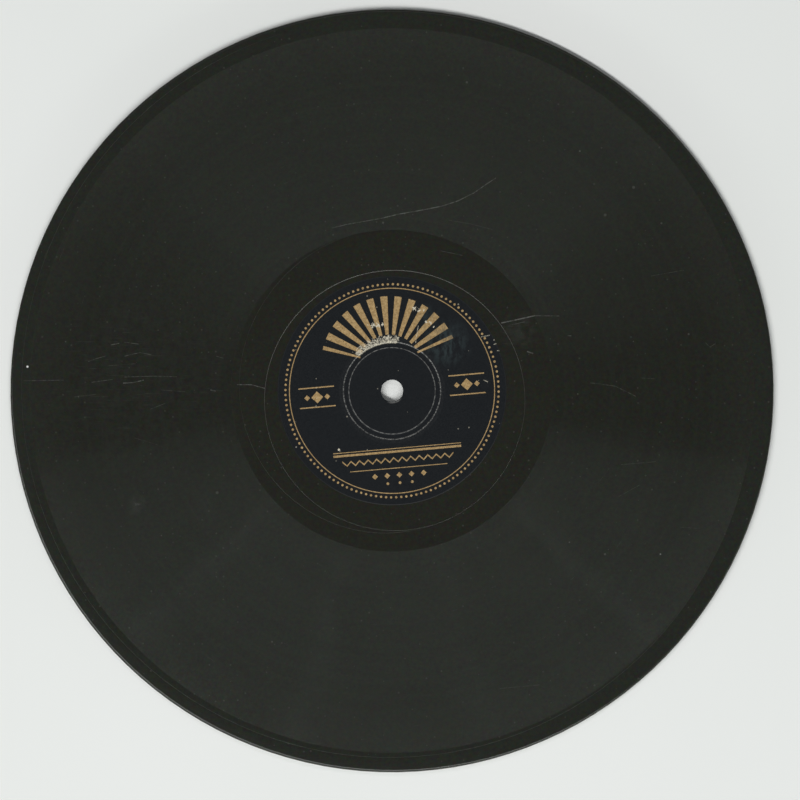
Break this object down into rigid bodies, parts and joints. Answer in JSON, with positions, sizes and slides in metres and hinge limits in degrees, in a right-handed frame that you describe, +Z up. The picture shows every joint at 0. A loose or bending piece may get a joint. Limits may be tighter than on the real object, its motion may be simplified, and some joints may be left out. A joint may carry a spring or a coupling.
{
  "type": "shellac record",
  "caption": "Flat round shellac gramophone record with a fine groove on each face, a pressed-in paper label and a spindle hole in the middle.",
  "frame": {"origin": "on the axis of the spindle hole, in the plane of the lower playing face", "axes": "+Z up along the spindle hole, out of the front face; +Y to the top of the front label, +X to its right"},
  "size_m": [0.25, 0.25, 0.0022],
  "materials": {
    "core_stock": "coarse filled shellac, matt",
    "kraft_paper": "resin-soaked kraft paper, matt",
    "shellac": "pressed shellac, semi-gloss, grooved",
    "label_paper": "pressed printed paper, dark blue-black with gold"
  },
  "bodies": {
    "root": {"core_disc": "core_stock", "rear_paper_sheet": "kraft_paper", "front_paper_sheet": "kraft_paper", "rear_playing_surface": "shellac", "front_playing_surface": "shellac", "rear_label": "label_paper", "front_label": "label_paper"}
  },
  "joints": []
}
